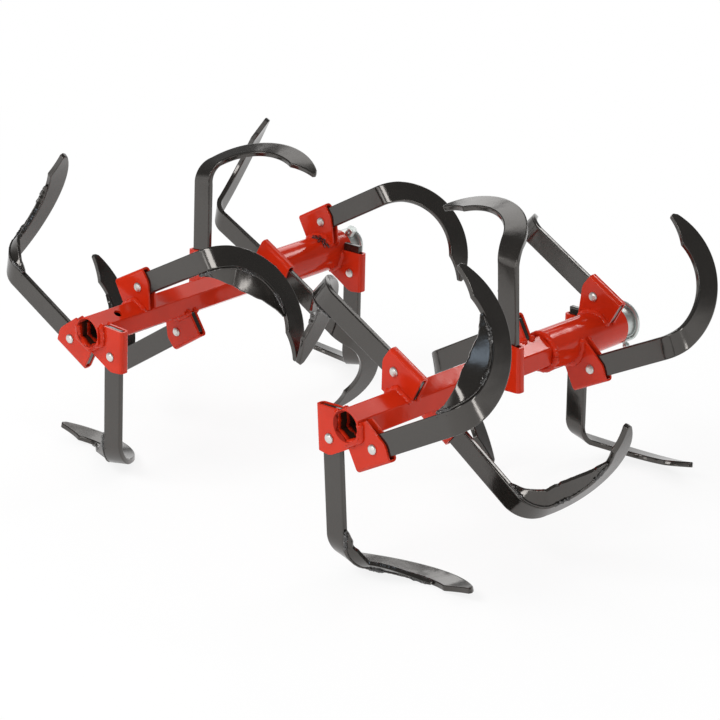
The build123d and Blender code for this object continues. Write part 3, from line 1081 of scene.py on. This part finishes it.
class TINE_OT_wing_welds(bpy.types.Operator):
    """Black beads and droplets where the plates meet the bars"""

    bl_idname = "tine.wing_welds"
    bl_label = "Wing welds"

    def execute(self, context):
        sizes = context.scene.tine_sizes
        for rotor in rotors:
            seams, stitches = [], []
            for tine in rotor.tines[:winged]:
                seams += [self.seam(tine, sizes, spread(*seam_span), side) for side in (1, -1)]
                shift = stitch_shift * noise.noise(Vector((tine.index * 7.3, rotor.hand * 2.9, 1.5)))
                for first, last, way in stitch_spans:
                    shares = spread(first + way * shift, last + way * shift, stitch_points)
                    stitches.append(self.seam(tine, sizes, shares, rotor.hand))
            beads(rotor, "_wing_seam", seams, seam_bead)
            beads(rotor, "_wing_weld", stitches, stitch_bead)
            self.throw(rotor, stitches, sizes)
        return {"FINISHED"}

    def seam(self, tine, sizes, shares, side):
        """One side of the joint between a plate and its bar."""
        lift = side * sizes.wing_thick / 2
        path = []
        for spot, along, way, reach, distance in wing_line(tine, sizes, shares):
            path.append(spot + along.cross(way).normalized() * lift + way * seam_out)
        return path

    def throw(self, rotor, paths, sizes):
        """Droplets on the bars and plates beside the stitches."""
        field = bmesh.new()
        for part, end in (("tine", "_bar"), ("wing", "_plate")):
            for tine in rotor.tines[:winged]:
                field.from_mesh(bpy.data.objects[tine.name(part) + end].data)
        mesh = bpy.data.meshes.new("landing")
        field.to_mesh(mesh)
        field.free()
        surface = show("landing", mesh)
        name = rotor.side + "_wing_spatter"
        tree = shared("Weld spatter", spatter_tree)
        values = {"Surface": surface, "Seed": sizes.seed, "Material": finish("black_enamel"), **spatter}
        made = grown(name, paths_mesh(name, paths), tree, **values)
        bpy.data.objects.remove(surface)
        settle(made, rotor.body, "black_paint")


def clip_sheet(tine, sizes):
    """Top of a clip's fold, and how far the middle of each cheek lies from the bar's middle."""
    top = tine.seat + sizes.bar_width + clip_clear + sizes.clip_plate
    cheek = sizes.bar_thick / 2 + seat_gap + sizes.clip_plate / 2
    return top, cheek


def clip_foot(tine):
    """Edge of a cheek on the tube, from its root to its open end."""
    root = clip_root - tine.clip_shift
    if tine.on_sleeve:
        turns = spread(pi / 2 + asin(root / tine.seat), asin(clip_low / tine.seat), 16)
        return [Vector((tine.seat * cos(turn), tine.seat * sin(turn))) for turn in turns]
    # facets behind and beside the bar, and the two corners of the tube between them
    lean = radians(tine.lean)
    flat = hex_flat + seat_gap
    behind, beside = lean + pi * 5 / 6, lean + pi / 6
    first = Vector((-root, (flat + root * cos(behind)) / sin(behind)))
    last = Vector(((flat - clip_low * sin(beside)) / cos(beside), clip_low))
    turns = (lean + pi * 2 / 3, lean + pi / 3)
    left, right = [Vector((cos(turn), sin(turn))) * (flat / cos(pi / 6)) for turn in turns]
    foot = [first, *rounded(first, left, right, hex_corner + seat_gap, 5)]
    return [*foot, *rounded(left, right, last, hex_corner + seat_gap, 5), last]


def clip_exit(tine, top):
    """Edge of a cheek where the bar comes out, from the tube to the fold."""
    low = Vector((clip_exit_low, clip_low))
    peak = Vector((clip_exit_peak + tine.clip_shift, top - clip_peak_depth))
    fold = Vector((clip_exit_fold + tine.clip_shift, top))
    return [low, *rounded(low, peak, fold, clip_peak_radius, 8), fold]


def across_at(line, y):
    """Where a rising line crosses a level."""
    for first, last in zip(line, line[1:]):
        if y <= last.y:
            return first.x + (last.x - first.x) * (y - first.y) / (last.y - first.y)
    return line[-1].x


class TINE_OT_clips(bpy.types.Operator):
    """Folded clips that hold the bars, and the welds at their feet"""

    bl_idname = "tine.clips"
    bl_label = "Clips"

    def execute(self, context):
        sizes = context.scene.tine_sizes
        for rotor in rotors:
            feet = []
            for tine in rotor.tines:
                name = tine.name("bracket")
                settle(self.fold(tine, name + "_clip", sizes), rotor.body, "red_paint", name)
                feet += self.feet(tine, sizes)
            beads(rotor, "_clip_welds", feet, clip_bead)
        self.scorch(rotors[1])
        return {"FINISHED"}

    def fold(self, tine, name, sizes):
        """Middle sheet of a clip, thickened and with its cut edges rounded."""
        top, cheek = clip_sheet(tine, sizes)
        foot, exit_line = clip_foot(tine), clip_exit(tine, top)
        root = clip_root - tine.clip_shift
        middle = sizes.clip_plate / 2
        radius = sizes.clip_fold - middle
        crown = top - middle
        turns = spread(0, pi / 2, 7)
        low, near = crown - radius, cheek - radius
        arc = [(low + radius * sin(turn), near + radius * cos(turn)) for turn in turns]
        section = arc + [(y, -z) for y, z in reversed(arc)]
        build = bmesh.new()

        def vertex(x, y, z):
            return build.verts.new(tine.place((x, -y, z)))

        strip = [(vertex(-root, y, z), vertex(across_at(exit_line, y), y, z)) for y, z in section]
        for first, second in zip(strip, strip[1:]):
            build.faces.new((first[0], first[1], second[1], second[0]))
        rim = foot + [spot for spot in exit_line if spot.y < arc[0][0] - clip_rim_gap]
        for z, ends in ((cheek, strip[0]), (-cheek, strip[-1])):
            build.faces.new([ends[0], *[vertex(x, y, z) for x, y in rim], ends[1]])
        bmesh.ops.recalc_face_normals(build, faces=build.faces)
        mesh = bpy.data.meshes.new(name)
        build.to_mesh(mesh)
        build.free()
        mesh.materials.append(finish("red_enamel"))
        mesh.polygons.foreach_set("use_smooth", [True] * len(mesh.polygons))
        clip = show(name, mesh)
        plate = clip.modifiers.new("Plate", "SOLIDIFY")
        plate.thickness = sizes.clip_plate
        plate.offset = 0.0
        plate.use_even_offset = True
        edge = clip.modifiers.new("Edge", "BEVEL")
        edge.width = sizes.clip_edge
        edge.segments = 3
        edge.limit_method = "ANGLE"
        edge.angle_limit = radians(40)
        edge.harden_normals = True
        return clip

    def feet(self, tine, sizes):
        """Paths of the welds along both cheeks of a clip."""
        top, cheek = clip_sheet(tine, sizes)
        outside = cheek + sizes.clip_plate / 2 + clip_weld_out
        return [[tine.place((x, -y, z)) for x, y in clip_foot(tine)] for z in (outside, -outside)]

    def scorch(self, rotor):
        """Star of burnt beads at the foot of one clip."""
        last_turn = scorch_turn + tau * (scorch_arms - 1) / scorch_arms
        paths = []
        for way in spread(scorch_turn, last_turn, scorch_arms):
            path = []
            for reach in spread(*scorch_reach):
                around = scorch_heading - rotor.roll + reach * sin(way) / sleeve_outer * scorch_stretch
                spot = rotor.heading(around) * (sleeve_outer + scorch_lift)
                path.append(rotor.origin + rotor.axle * (scorch_station + reach * cos(way)) + spot)
            paths.append(path)
        beads(rotor, "_scorched_weld", paths, scorched_bead)


class TINE_OT_rivets(bpy.types.Operator):
    """Round head rivets through the clips and bars"""

    bl_idname = "tine.rivets"
    bl_label = "Rivets"

    def execute(self, context):
        sizes = context.scene.tine_sizes
        tree = shared("Rivet heads", rivet_tree)
        reach = sizes.bar_thick / 2 + 2 * seat_gap + sizes.clip_plate
        for rotor in rotors:
            points, ways = [], []
            for tine in rotor.tines:
                level = tine.seat + sizes.bar_width / 2
                for side in (1, -1):
                    points.append(tine.place((rivet_along, -level, side * reach)))
                    ways.append(rotor.axle * -side)
            name = rotor.side + "_rivet_heads"
            mesh = points_mesh(name + "_spots", points, axis=ways)
            values = {"Radius": sizes.rivet_radius, "Height": sizes.rivet_height, "Seed": sizes.seed}
            made = grown(name, mesh, tree, Material=finish("rivet_zinc"), **values)
            settle(made, rotor.body, "rivet_zinc", rotor.side + "_tine_rivets")
        return {"FINISHED"}


class TINE_PT_panel(bpy.types.Panel):
    """Lists the pieces and their sizes"""

    bl_idname = "TINE_PT_panel"
    bl_label = "Tine rotors"
    bl_space_type = "VIEW_3D"
    bl_region_type = "UI"
    bl_category = "Tine rotors"

    def draw(self, context):
        for step in steps:
            self.layout.operator(step.bl_idname)
        for group in (context.scene.tine_sizes, context.scene.tine_colours, context.scene.tine_view):
            box = self.layout.box()
            for name in group.__annotations__:
                box.prop(group, name)


steps = (
    TINE_OT_stage,
    TINE_OT_tubes,
    TINE_OT_collars,
    TINE_OT_tines,
    TINE_OT_wings,
    TINE_OT_wing_welds,
    TINE_OT_clips,
    TINE_OT_rivets,
)
settings = (("tine_sizes", RotorSizes), ("tine_colours", RotorColours), ("tine_view", RotorView))


def register():
    for name, group in settings:
        bpy.utils.register_class(group)
        setattr(bpy.types.Scene, name, PointerProperty(type=group))
    for item in (*steps, TINE_PT_panel):
        bpy.utils.register_class(item)


def unregister():
    for item in reversed((*steps, TINE_PT_panel)):
        bpy.utils.unregister_class(item)
    for name, group in reversed(settings):
        delattr(bpy.types.Scene, name)
        bpy.utils.unregister_class(group)


def main():
    register()
    for step in steps:
        group, name = step.bl_idname.split(".")
        getattr(getattr(bpy.ops, group), name)()


if __name__ == "__main__":
    main()
